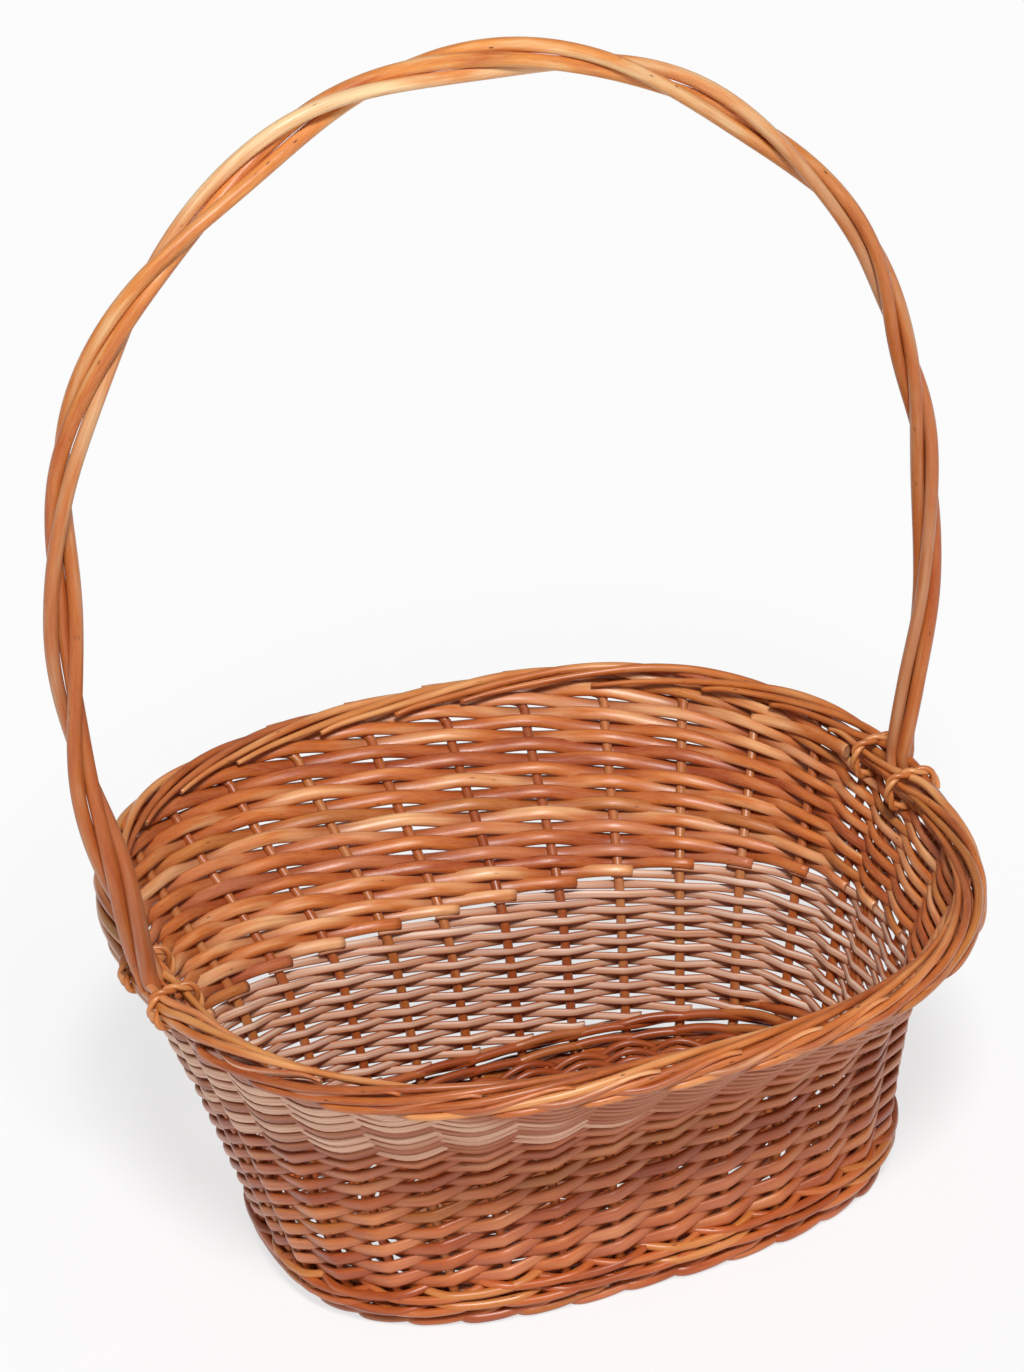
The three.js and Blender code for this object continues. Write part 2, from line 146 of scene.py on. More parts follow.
def wall_place(around, height):
    """Points of the wall's middle surface; around counts stakes from +X, height is in mm"""
    around, height = np.broadcast_arrays(np.asarray(around, float), np.asarray(height, float))
    column = (around / stake_count % 1) * table_steps
    row = np.clip((height - table_low) / table_rise, 0, len(table_heights) - 1.001)
    left = np.floor(column).astype(int) % table_steps
    below = np.floor(row).astype(int)
    across = (column - np.floor(column))[..., None]
    over = (row - below)[..., None]
    low = wall_table[below, left] * (1 - across) + wall_table[below, left + 1] * across
    high = wall_table[below + 1, left] * (1 - across) + wall_table[below + 1, left + 1] * across
    flat = low * (1 - over) + high * over
    share = height / wall_height
    drop = rim_drop * share * share * flat[..., 0] / rim_half[0]
    return np.concatenate((flat, (height - drop)[..., None]), -1)


def unit(vectors):
    return vectors / np.linalg.norm(vectors, axis=-1, keepdims=True)


def wall_outward(around, height):
    """Outward directions of the wall"""
    along = wall_place(np.add(around, 0.2), height) - wall_place(np.add(around, -0.2), height)
    rising = wall_place(around, np.add(height, 2)) - wall_place(around, np.add(height, -2))
    return unit(np.cross(along, rising))


def level_outward(around, height=0):
    """Outward directions of the wall, laid level"""
    return unit(wall_outward(around, height) * (1, 1, 0))


def off_wall(around, height, outward):
    return wall_place(around, height) + wall_outward(around, height) * np.asarray(outward)[..., None]


def beside_rim(around, outward, rise):
    """Points beside the rim: outward is level, rise counts from the top of the border"""
    around, outward, rise = np.broadcast_arrays(around, outward, rise)
    height = np.minimum(wall_height - border_root, wall_height + rise)
    point = wall_place(around, height) + level_outward(around, height) * outward[..., None]
    point[..., 2] += wall_height + rise - height
    return point


def smooth_route(points, steps, keys=None, finer=6):
    """A smooth route through points, in even steps; keys hold more values at each point"""
    points = np.asarray(points, float)
    knots = np.concatenate(([0], np.cumsum(np.sqrt(np.linalg.norm(np.diff(points, axis=0), axis=1)))))
    values = points if keys is None else np.concatenate((points, keys), 1)
    slopes = np.gradient(values, knots, axis=0)
    fine = np.linspace(0, knots[-1], steps * finer)
    span = np.clip(np.searchsorted(knots, fine, side="right") - 1, 0, len(knots) - 2)
    width = (knots[span + 1] - knots[span])[:, None]
    t = ((fine - knots[span])[:, None]) / width
    curve = ((2 * t ** 3 - 3 * t ** 2 + 1) * values[span] + (t ** 3 - 2 * t ** 2 + t) * width * slopes[span]
             + (3 * t ** 2 - 2 * t ** 3) * values[span + 1] + (t ** 3 - t ** 2) * width * slopes[span + 1])
    return even_steps(curve, steps)


def straight_rod(sides, rings):
    """A straight rod before it is bent: one long, one in radius, its cut ends in material 1"""
    shape = bmesh.new()
    bmesh.ops.create_cone(shape, cap_ends=True, segments=sides, radius1=1, radius2=1, depth=1)
    lengthwise = [edge for edge in shape.edges if abs(edge.verts[0].co.z - edge.verts[1].co.z) > 0.5]
    bmesh.ops.subdivide_edges(shape, edges=lengthwise, cuts=rings - 1)
    for face in shape.faces:
        cut_end = len(face.verts) > 4
        face.smooth = not cut_end
        face.material_index = 1 if cut_end else 0
    mesh = bpy.data.meshes.new("straight_rod")
    shape.to_mesh(mesh)
    shape.free()
    return mesh


def round_section(u, v):
    return u, v


pattern_apart = 5000


def bend_rods(name, routes, nodes, materials, sides=8, section=round_section):
    """Bends a straight rod along each route and joins them into one named piece. A route is
    its points and outward directions in mm, its radii, its tone and its painted shade, which
    darkens it where it lies in shade. Each tone reads the bark's pattern from a place of its own."""
    whole = bmesh.new()
    straight = {}
    places = []
    straight_places = []
    tones = []
    shades = []
    for points, outward, radii, tone, shade in routes:
        steps = len(points)
        if steps not in straight:
            straight[steps] = straight_rod(sides, steps - 1)
        rod = straight[steps]
        whole.from_mesh(rod)
        corners = np.empty(len(rod.vertices) * 3)
        rod.vertices.foreach_get("co", corners)
        corners = corners.reshape(-1, 3)
        ring = np.rint((corners[:, 2] + 0.5) * (steps - 1)).astype(int)
        forward = unit(np.gradient(points, axis=0))
        out = unit(outward - forward * np.sum(outward * forward, -1, keepdims=True))
        side = np.cross(out, forward)
        across, outer = section(corners[:, 0], corners[:, 1])
        across = (across * radii[ring])[:, None]
        outer = (outer * radii[ring])[:, None]
        places.append(points[ring] + side[ring] * across + out[ring] * outer)
        along = walked_length(points)[ring] + pattern_apart * tone
        straight_places.append(np.concatenate((across, outer, along[:, None]), 1))
        tones.append(np.full(len(corners), tone))
        shades.append(np.broadcast_to(shade, steps)[ring])
    mesh = bpy.data.meshes.new(name)
    whole.to_mesh(mesh)
    whole.free()
    mesh.vertices.foreach_set("co", ((np.concatenate(places) + middle_mm) * mm).ravel())
    straight_place = mesh.attributes.new("straight_place", "FLOAT_VECTOR", "POINT")
    straight_place.data.foreach_set("vector", (np.concatenate(straight_places) * mm).ravel())
    rod_tone = mesh.attributes.new("rod_tone", "FLOAT", "POINT")
    rod_tone.data.foreach_set("value", np.concatenate(tones))
    rod_painted_shade = mesh.attributes.new("rod_painted_shade", "FLOAT", "POINT")
    rod_painted_shade.data.foreach_set("value", np.concatenate(shades))
    for rod in straight.values():
        bpy.data.meshes.remove(rod)
    for material in materials:
        mesh.materials.append(material)
    mesh.update()
    piece = bpy.data.objects.new(name, mesh)
    bpy.context.scene.collection.objects.link(piece)
    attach(piece, "root")
    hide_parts(*nodes)


def paint(red, green, blue):
    """A colour as a paint chart gives it, 0 to 255, turned into light values"""
    shares = [value / 255 for value in (red, green, blue)]
    return tuple(s / 12.92 if s <= 0.04 else ((s + 0.055) / 1.055) ** 2.4 for s in shares) + (1,)


def join(tree, source, target):
    tree.links.new(source, target)


def math_node(tree, operation, first, second=None, clamp=False):
    node = tree.nodes.new("ShaderNodeMath")
    node.operation = operation
    node.use_clamp = clamp
    for index, value in enumerate((first, second)):
        if value is None:
            continue
        if isinstance(value, (int, float)):
            node.inputs[index].default_value = value
        else:
            join(tree, value, node.inputs[index])
    return node.outputs[0]


def times(tree, first, second):
    return math_node(tree, "MULTIPLY", first, second)


def plus(tree, first, second):
    return math_node(tree, "ADD", first, second)


def left_over(tree, value):
    """What is left of one after a value"""
    return math_node(tree, "SUBTRACT", 1, value, clamp=True)


def mix_colour(tree, share, first, second):
    node = tree.nodes.new("ShaderNodeMix")
    node.data_type = "RGBA"
    for socket, value in ((node.inputs[0], share), (node.inputs[6], first), (node.inputs[7], second)):
        if isinstance(value, (int, float, tuple)):
            socket.default_value = value
        else:
            join(tree, value, socket)
    return node.outputs[2]


def stretch(tree, value, low, high):
    """A value spread out so that low becomes 0 and high becomes 1"""
    node = tree.nodes.new("ShaderNodeMapRange")
    node.inputs["From Min"].default_value = low
    node.inputs["From Max"].default_value = high
    join(tree, value, node.inputs["Value"])
    return node.outputs["Result"]


def grain_place(tree, place, grain, start=0.0):
    """Places on the straight rod, counted in grains; grain says how many one metre holds"""
    mapping = tree.nodes.new("ShaderNodeMapping")
    mapping.inputs["Scale"].default_value = grain
    mapping.inputs["Location"].default_value = (start, start, start)
    join(tree, place, mapping.inputs["Vector"])
    return mapping.outputs[0]


def grain_noise(tree, place, grain, detail, start=0.0):
    noise = tree.nodes.new("ShaderNodeTexNoise")
    noise.inputs["Scale"].default_value = 1
    noise.inputs["Detail"].default_value = detail
    join(tree, grain_place(tree, place, grain, start), noise.inputs["Vector"])
    return noise.outputs["Fac"]


# The bark's grains in one metre, twice across the rod and once along it, its odd colours and the brown of its
# painted shade
patch_grain = (160, 160, 24)
streak_grain = (850, 850, 24)
hair_grain = (4200, 4200, 160)
spot_grain = (420, 420, 110)
spotted_grain = (300, 300, 60)
ochre = paint(206, 146, 66)
rose = paint(224, 156, 122)
shade_brown = paint(112, 48, 24)
spot_brown = paint(84, 36, 16)
bark = bpy.data.node_groups.new("Willow bark", "ShaderNodeTree")
bark_inputs = (("Place", "Vector"), ("Tone", "Float"), ("Light", "Color"), ("Middle", "Color"),
               ("Deep", "Color"), ("Specks", "Float"), ("Shade", "Float"))
bark_outputs = (("Color", "Color"), ("Roughness", "Float"), ("Height", "Float"))
for in_out, sockets in (("INPUT", bark_inputs), ("OUTPUT", bark_outputs)):
    for socket_name, kind in sockets:
        bark.interface.new_socket(socket_name, in_out=in_out, socket_type="NodeSocket" + kind)
given = bark.nodes.new("NodeGroupInput").outputs
made = bark.nodes.new("NodeGroupOutput").inputs
place = given["Place"]
patches = stretch(bark, grain_noise(bark, place, patch_grain, 2), 0.3, 0.7)
streaks = stretch(bark, grain_noise(bark, place, streak_grain, 3), 0.32, 0.68)
hairs = stretch(bark, grain_noise(bark, place, hair_grain, 2, 0.4), 0.35, 0.65)
depth = plus(bark, times(bark, given["Tone"], 0.8), times(bark, patches, 0.7))
tint = mix_colour(bark, stretch(bark, depth, 0.15, 0.7), given["Light"], given["Middle"])
tint = mix_colour(bark, stretch(bark, depth, 0.7, 1.3), tint, given["Deep"])
rod_kind = math_node(bark, "FRACT", times(bark, given["Tone"], 9.7))
tint = mix_colour(bark, times(bark, stretch(bark, rod_kind, 0.84, 0.92), 0.35), tint, ochre)
tint = mix_colour(bark, times(bark, stretch(bark, rod_kind, 0.25, 0.12), 0.25), tint, rose)
tint = mix_colour(bark, times(bark, streaks, 0.36), tint, given["Deep"])
tint = mix_colour(bark, times(bark, hairs, 0.2), tint, given["Light"])
# Painted shade: the Shade input darkens the bark towards a shade brown
tint = mix_colour(bark, given["Shade"], tint, mix_colour(bark, 0.45, given["Deep"], shade_brown))
spots = bark.nodes.new("ShaderNodeTexVoronoi")
spots.inputs["Scale"].default_value = 1
join(bark, grain_place(bark, place, spot_grain), spots.inputs["Vector"])
spot_mask = left_over(bark, stretch(bark, spots.outputs["Distance"], 0.08, 0.2))
spotted = stretch(bark, grain_noise(bark, place, spotted_grain, 1, 3.1), 0.58, 0.66)
spot_share = times(bark, times(bark, spot_mask, spotted), given["Specks"])
join(bark, mix_colour(bark, spot_share, tint, spot_brown), made["Color"])
join(bark, plus(bark, times(bark, streaks, 0.16), 0.3), made["Roughness"])
join(bark, plus(bark, times(bark, streaks, 0.7), times(bark, hairs, 0.3)), made["Height"])


def read_attribute(tree, name, output="Fac"):
    node = tree.nodes.new("ShaderNodeAttribute")
    node.attribute_name = name
    return node.outputs[output]


def place_bark(tree, colours, specks):
    """Puts the bark group into a material with its own light, middle and deep colour"""
    group = tree.nodes.new("ShaderNodeGroup")
    group.node_tree = bark
    join(tree, read_attribute(tree, "straight_place", "Vector"), group.inputs["Place"])
    join(tree, read_attribute(tree, "rod_tone"), group.inputs["Tone"])
    join(tree, read_attribute(tree, "rod_painted_shade"), group.inputs["Shade"])
    for socket_name, colour in zip(("Light", "Middle", "Deep"), colours):
        group.inputs[socket_name].default_value = colour
    group.inputs["Specks"].default_value = specks
    return group


def new_finish(name):
    material = bpy.data.materials.new(name)
    material.use_nodes = True
    tree = material.node_tree
    return material, tree, tree.nodes["Principled BSDF"]


def raise_grain(tree, shader, height, depth):
    bump = tree.nodes.new("ShaderNodeBump")
    bump.inputs["Strength"].default_value = 0.6
    bump.inputs["Distance"].default_value = depth
    join(tree, height, bump.inputs["Height"])
    join(tree, bump.outputs[0], shader.inputs["Normal"])


def set_gloss(shader, specular, coat, coat_roughness):
    shader.inputs["Specular IOR Level"].default_value = specular
    shader.inputs["Coat Weight"].default_value = coat
    shader.inputs["Coat Roughness"].default_value = coat_roughness


def bark_finish(name, light, middle, deep, coat=0.4):
    """Willow with its bark on, smooth and a little glossy"""
    material, tree, shader = new_finish(name)
    group = place_bark(tree, (light, middle, deep), 1.0)
    join(tree, group.outputs["Color"], shader.inputs["Base Color"])
    join(tree, group.outputs["Roughness"], shader.inputs["Roughness"])
    raise_grain(tree, shader, group.outputs["Height"], 0.00012)
    set_gloss(shader, 0.28, coat, 0.3)
    return material


def cut_finish(name, grain, dark, light):
    """The open grain of a rod's cut end"""
    material, tree, shader = new_finish(name)
    pores = grain_noise(tree, read_attribute(tree, "straight_place", "Vector"), (grain, grain, grain), 2)
    join(tree, mix_colour(tree, pores, dark, light), shader.inputs["Base Color"])
    shader.inputs["Roughness"].default_value = 0.8
    return material


def ease(values):
    """From 0 to 1 with a soft start and a soft end"""
    s = np.clip(values, 0, 1)
    return s * s * (3 - 2 * s)


def open_share(around):
    """How far the border is parted for the handle, from 0 to 1"""
    apart = (around - handle_seat) / handle_apart
    gap = abs(apart - round(apart)) * handle_apart
    return 1 - ease((gap - 0.35) / 0.6)


border_bark = bark_finish("border willow bark", paint(236, 170, 108), paint(200, 108, 44), paint(150, 58, 12))
cut_end = cut_finish("cut willow end", 900, paint(120, 66, 36), paint(196, 140, 96))
# How a stake's end is laid: stakes passed, out from the wall, up from the rim
border_plain = (
    (0, 0, -14), (0.16, 3.4, -12.8), (0.4, 6.4, -12.0), (1, 7.0, -9.8),
    (2, 7.4, -5.0), (2.6, 6.2, -2.0), (3.0, 4.6, -0.5), (3.5, 2.0, 0.2),
    (4.1, -1.4, -0.5), (4.7, -3.6, -1.8), (5.4, -4.8, -3.4), (6.2, -5.0, -5.2),
)
border_open = (
    (0, 0, -14), (0.16, 3.2, -12.8), (0.4, 6.0, -12.2), (1, 6.8, -10.4),
    (2, 7.8, -6.4), (2.6, 7.8, -3.4), (3.0, 7.0, -0.8), (3.5, 5.6, -0.2),
    (4.1, -4.6, -0.9), (4.7, -6.4, -3.0), (5.4, -6.4, -5.0), (6.2, -6.0, -7.4),
)
foot_bend = ((28, 0), (6, 0), (1.5, 1.6))
stake_heights = (15, 40, 66, 80, 90, 100, 110, 124, 140, 152)
stake_facing_height = 80
stake_steps = 170
stake_shade = 0.42
leaving_points = 2
leaving_reach = 4
taper_start = 3.4
taper_length = 2.8
taper = 1.1
luck = random.Random(7)
stake_seats = [k for k in range(stake_count) if k % handle_apart != 0]
for index, k in enumerate(stake_seats):
    around = k + 0.5
    points = []
    for inset, rise in foot_bend:
        point = wall_place(around, 0) - level_outward(around) * inset
        point[2] = base_level + rise
        points.append(point)
    for height in stake_heights:
        points.append(wall_place(around, height))
    radii = [stake_radius] * len(points)
    tail = luck.uniform(5.6, 6.2)
    sway = luck.uniform(-0.6, 0.6)
    for plain, opened in zip(border_plain, border_open):
        passed = min(plain[0], tail)
        share = open_share(around + passed)
        out = plain[1] + (opened[1] - plain[1]) * share
        rise = plain[2] + (opened[2] - plain[2]) * share
        wobble = sway * min(1, passed)
        radius = border_radius + (stake_radius - border_radius) * max(0, 1 - passed * 2)
        radii.append(radius - taper * max(0, passed - taper_start) / taper_length)
        points.append(beside_rim(around + passed, out + wobble * 0.6, rise + wobble * 0.4))
        if plain[0] >= tail:
            break
    route = smooth_route(points, stake_steps, np.array(radii)[:, None])
    outward = np.tile(wall_outward(around, stake_facing_height) + (0, 0, 0.6), (stake_steps, 1))
    leaves_wall = points[len(foot_bend) + len(stake_heights) + leaving_points]
    leaving = np.linalg.norm(route[:, :3] - leaves_wall, axis=1) < leaving_reach
    # Painted shade on each stake below the point where it leaves the wall for the border
    shade = stake_shade * (np.arange(stake_steps) < np.argmax(leaving))
    bend_rods(f"stake_rod_{index + 1:02d}", [(route[:, :3], outward, route[:, 3], luck.random(), shade)],
              [f"stake_{index + 1:02d}"], [border_bark, cut_end])

# Upsett: two rounds of four whole brown rods, waled just above the base. Each rod goes in
# front of two stakes and behind two, slanting up over the others, and binds the bent stakes.
stake_numbers = np.arange(-2 * stake_count, 4 * stake_count)
stake_places = stake_numbers + np.where(stake_numbers % handle_apart == 0, handle_seat, 0.5)


def stand(step):
    """Where along the wall a stake, or a point between two stakes, stands"""
    return np.interp(step, stake_numbers, stake_places)


wale_radius = 2.25
wale_first = 10.2
wale_climb = 7.4
wale_slant = 2.6
wale_rounds = 2
wale_steps = 1200
wale_press = 0.2
wale_outward = 0.4
wale_shade = 0.5
wale_ins = np.array((1, 1, -1, -1))
wale_tones = (0.1, 0.55, 0.85, 0.35)
brown_bark = bark_finish("brown willow bark", paint(212, 132, 76), paint(188, 92, 36), paint(144, 54, 10))


def wale_wave(step):
    """In front of two stakes and behind two, as a value from -1 to 1"""
    low = np.floor(step).astype(int)
    eased = ease(step - low)
    return wale_ins[low % 4] * (1 - eased) + wale_ins[(low + 1) % 4] * eased


upset_routes = [[], []]
for which, tone in enumerate(wale_tones):
    step = np.linspace(which - 0.4, which + wale_rounds * stake_count + 0.3, wale_steps)
    phase = step - which
    around = stand(step)
    slant = wale_slant * np.sin(phase * math.pi / 2 - math.pi * 0.75)
    unruly = 0.7 * np.sin(step * 1.31 + 2 * which) + 0.5 * np.sin(step * 0.73 + which)
    height = wale_first + wale_climb * phase / stake_count + slant + unruly
    out = wale_wave(phase) * (stake_radius + wale_radius - wale_press) + wale_outward
    radii = wale_radius * (1 + 0.05 * np.sin(step * 0.37 + which))
    # Painted shade on each rod's stretches inside the basket, behind the stakes
    shade = wale_shade * (out < 0)
    route = (off_wall(around, height, out), wall_outward(around, height), radii, tone, shade)
    upset_routes[which % 2].append(route)
for index in (0, 1):
    bend_rods(f"upset_rods_{index + 1}", upset_routes[index], [f"upset_weaver_{index + 1}"],
              [brown_bark, cut_end], sides=7)

# Foot: one thick brown rod beside every stake, kinked out from under the base, laid along the
# lower edge past the next stake and tucked in under the upsett. The basket stands on it.
foot_radius = 3.0
foot_steps = 34
# Painted shade on the foot rods, low under the wall
foot_shade = 0.15
floor_gap = 0.05
# How a foot rod is laid: stakes passed, out from the wall's lower edge, up from the floor
foot_lay = (
    (-0.4, -8, 5.6), (-0.12, -3.6, 4.2), (0.12, 1.4, 3.1), (0.6, 1.8, 3.0),
    (1.1, 1.4, 4.6), (1.5, 2.0, 6.6), (1.9, -1.0, 9.6),
)
foot_routes = []
for k in range(stake_count):
    points = []
    sway = luck.uniform(-1.0, 0.7)
    lift = luck.uniform(-0.4, 1.0)
    for passed, out, height in foot_lay:
        around = k + 0.5 + passed
        point = wall_place(around, 0) + level_outward(around) * (out + sway)
        point[2] = height + lift
        points.append(point)
    route = smooth_route(points, foot_steps)
    outward = np.tile(level_outward(around), (foot_steps, 1))
    radii = np.linspace(1.06, 0.8, foot_steps) * foot_radius * luck.uniform(0.86, 1.05)
    route[:, 2] = np.maximum(route[:, 2], radii + floor_gap)
    foot_routes.append((route, outward, radii, luck.uniform(0.2, 1), foot_shade))
bend_rods("foot_rods", foot_routes, ["foot_rod"], [brown_bark, cut_end])

# Split band: nineteen rows of split willow, pale pith on the inside and brown bark outside.
# One split starts at each stake, goes in front of one stake and behind the next, and climbs
# one row at every stake, with its cut ends on the inside.
bark_side_share = 0.62
pith_side_share = 0.38


def split_section(thickness, roundness):
    """A rod split in half: round bark on the outside, a flat pith face on the inside"""
    def section(u, v):
        bark_side = bark_side_share * thickness * np.maximum(v, 0) ** roundness
        pith_side = pith_side_share * thickness * np.abs(np.minimum(v, 0)) ** 0.5
        return u / 2, bark_side - pith_side
    return section


fibre_grain = (1100, 1100, 17)
fibre_band_grain = (460, 460, 10)
pale_pith = paint(250, 204, 172)


def split_finish(name, bark_colours, pith_colours, pith_depth, left_paling, lower_side):
    """Bark on the round side; on the flat side pale pith with long fibres and painted shade
    along its lower edge. Where the rod lies against a stake, the face turned to it gets painted shade."""
    material, tree, shader = new_finish(name)
    pith_light, pith_deep, pith_dark = pith_colours
    group = place_bark(tree, bark_colours, 0.7)
    place = read_attribute(tree, "straight_place", "Vector")
    tone = read_attribute(tree, "rod_tone")
    hidden_shade = read_attribute(tree, "rod_painted_shade")
    # Painted shade on the bark where it lies against the stakes
    join(tree, times(tree, math_node(tree, "POWER", hidden_shade, 1.4), 0.6), group.inputs["Shade"])
    on_rod = tree.nodes.new("ShaderNodeSeparateXYZ")
    join(tree, place, on_rod.inputs[0])
    fibres = stretch(tree, grain_noise(tree, place, fibre_grain, 3, 0.7), 0.38, 0.62)
    bands = stretch(tree, grain_noise(tree, place, fibre_band_grain, 2, 1.7), 0.35, 0.65)
    # Painted shade on the lower edge of the pith face
    low_shade = stretch(tree, times(tree, on_rod.outputs["X"], lower_side), -0.0012, 0.0013)
    pith = mix_colour(tree, fibres, pith_light, pith_deep)
    for dark_share in (times(tree, bands, 0.42), times(tree, tone, 0.22), times(tree, low_shade, 0.75)):
        pith = mix_colour(tree, dark_share, pith, pith_dark)
    # Some rods show their pith paler at the basket's left, below a line that falls to the right
    coordinates = tree.nodes.new("ShaderNodeTexCoord")
    in_basket = tree.nodes.new("ShaderNodeSeparateXYZ")
    join(tree, coordinates.outputs["Object"], in_basket.inputs[0])
    slope = plus(tree, in_basket.outputs["Z"], times(tree, in_basket.outputs["X"], 0.42))
    pale = times(tree, stretch(tree, in_basket.outputs["X"], 0.06, -0.03), left_paling)
    for limit in (stretch(tree, tone, 0.85, 0.5), stretch(tree, slope, 0.120, 0.110),
                  stretch(tree, fibres, 1.5, 0.4)):
        pale = times(tree, pale, limit)
    pith = mix_colour(tree, pale, pith, pale_pith)
    # Painted shade on the pith where it lies against the stakes
    tucked_shade = times(tree, math_node(tree, "POWER", left_over(tree, hidden_shade), 1.4), 0.42)
    pith = mix_colour(tree, tucked_shade, pith, mix_colour(tree, 0.4, pith_dark, bark_colours[2]))
    shown = stretch(tree, on_rod.outputs["Y"], -pith_depth * 0.45, -pith_depth * 0.85)
    join(tree, mix_colour(tree, shown, group.outputs["Color"], pith), shader.inputs["Base Color"])
    roughness = plus(tree, group.outputs["Roughness"], times(tree, shown, 0.22))
    join(tree, roughness, shader.inputs["Roughness"])
    height = plus(tree, group.outputs["Height"], times(tree, fibres, shown))
    raise_grain(tree, shader, height, 0.00016)
    set_gloss(shader, 0.35, 0.4, 0.35)
    return material


band_rows = 19
start_lap = 0.24
end_lap = 0.16
front_lift = 17
front_widening = 0.47
back_seat = 8


def weave_band(routes, first, last, inside_out, reach, sharp, steps, width, narrowing, tip):
    """Rods laid one beside every stake, climbing one row at each stake. The seam of the two
    bands stands higher at the front, where the split rods are wider."""
    pitch = (last - first) / (band_rows - 1)
    for k in range(stake_count):
        start = luck.uniform(-0.05, 0.05) - start_lap
        end = band_rows - 1 + end_lap + luck.uniform(-0.05, 0.08)
        row = np.linspace(start, end, steps)
        around = stand(k + row)
        wave = np.arcsin(sharp * np.cos(math.pi * row)) / math.asin(sharp)
        drift = luck.uniform(-0.25, 0.25)
        sway = 0.3 * np.sin(row * luck.uniform(0.5, 0.9) + luck.uniform(0, 6))
        share = row / (band_rows - 1)
        front = (0.5 - 0.5 * np.cos(2 * math.pi * (around - back_seat) / stake_count)) ** 1.6
        lift = front_lift * front * (share if inside_out > 0 else 1 - share)
        height = first + pitch * row + sway + drift + lift
        points = off_wall(around, height, -wave * reach)
        outward = wall_outward(around, height) * inside_out
        wide = width * (1 + front_widening * front * (inside_out > 0))
        leaning = np.linalg.norm(wall_place(around, height + 2) - wall_place(around, height - 2), axis=-1) / 4
        fill = np.clip(leaning, 1, 1.5) * wide * pitch
        size = luck.uniform(0.93, 1.06) * fill * (1 - narrowing * (1 - np.abs(np.cos(math.pi * row))))
        size = size * (1 - 0.1 * wave)
        ending = 1 - tip * np.clip((row - band_rows + 1.5) / 0.7, 0, 1)
        size = size * np.linspace(1.05, 0.95, steps) * ending
        # Painted shade for both faces: how far the bark side is turned in against the stakes
        hidden_shade = 0.5 + 0.5 * wave * inside_out
        routes[k % 2].append((points, outward, size, luck.random(), hidden_shade))


split_thickness = 0.42
split_rod_width = 4.6
split_willow = split_finish("split willow", (paint(218, 140, 84), paint(188, 92, 38), paint(146, 54, 12)),
                            (paint(255, 246, 234), paint(240, 192, 156), paint(188, 116, 70)),
                            pith_depth=pith_side_share * split_thickness * split_rod_width * mm,
                            left_paling=0, lower_side=-1)
split_end = cut_finish("cut split end", 1500, paint(168, 116, 76), paint(224, 180, 138))
split_routes = [[], []]
weave_band(split_routes, first=23.6, last=95.0, inside_out=1, reach=stake_radius + 0.75, sharp=0.998,
           steps=210, width=1.08, narrowing=0.08, tip=0)
for index in (0, 1):
    bend_rods(f"split_rods_{index + 1}", split_routes[index], [f"pale_weaver_{index + 1}"],
              [split_willow, split_end], sides=10,
              section=split_section(split_thickness, 0.5))

# Brown band: nineteen rows of thicker halved rods above the split ones, woven the same way
# but turned round, with their brown bark on the inside and their flat pith outside. One thick
# butt end is left lying inside, under the border near the handle's right foot.
half_thickness = 0.56
half_rod_width = 5.5
# On the outside the halved rods' pith faces turn down under the flaring wall: its colours are darkened as
# painted shade
half_willow = split_finish("halved willow", (paint(252, 196, 140), paint(210, 112, 40), paint(156, 52, 0)),
                           (paint(210, 136, 90), paint(182, 98, 50), paint(146, 64, 26)),
                           pith_depth=pith_side_share * half_thickness * half_rod_width * mm,
                           left_paling=0.8, lower_side=1)
half_routes = [[], []]
weave_band(half_routes, first=96.4, last=169.5, inside_out=-1, reach=stake_radius + 1.0, sharp=0.78,
           steps=150, width=1.3, narrowing=0.06, tip=0.5)
butt_steps = 40
butt_tone = 0.25
butt_around = np.linspace(3.5, 1.66, butt_steps)
butt_height = np.linspace(156, 161.5, butt_steps)
butt_inside = np.linspace(3.2, 7.4, butt_steps)
butt_width = np.linspace(5.2, 7.0, butt_steps)
butt = off_wall(butt_around, butt_height, -butt_inside)
half_routes[0].append((butt, -wall_outward(butt_around, butt_height), butt_width, butt_tone, 0))
for index in (0, 1):
    bend_rods(f"halved_rods_{index + 1}", half_routes[index], [f"brown_weaver_{index + 1}"],
              [half_willow, cut_end], sides=10,
              section=split_section(half_thickness, 0.9))

# Base sticks: three long willow sticks pushed through five short ones, the start of the base.
# Their ends reach to just inside the bend of the stakes.
stick_bark = bark_finish("base stick bark", paint(190, 118, 70), paint(168, 92, 46), paint(130, 60, 26))
stick_radius = 2.8
long_stick_radius = stick_radius * 1.15
stick_inset = 28.4
sticks_half = (base_half[0] - stick_inset, base_half[1] - stick_inset)
long_stick_sides = (-9, 0, 9)
short_stick_sides = (-44, -22, 0, 22, 44)
slath_edge = 9 + stick_radius
long_stick_steps = 24
short_stick_steps = 40
# Painted shade on the base sticks and the base weaving, down inside the basket
base_shade = 0.55


def stick_reach(aside, half_across, half_along, squareness):
    return half_along * (1 - (abs(aside) / half_across) ** squareness) ** (1 / squareness)


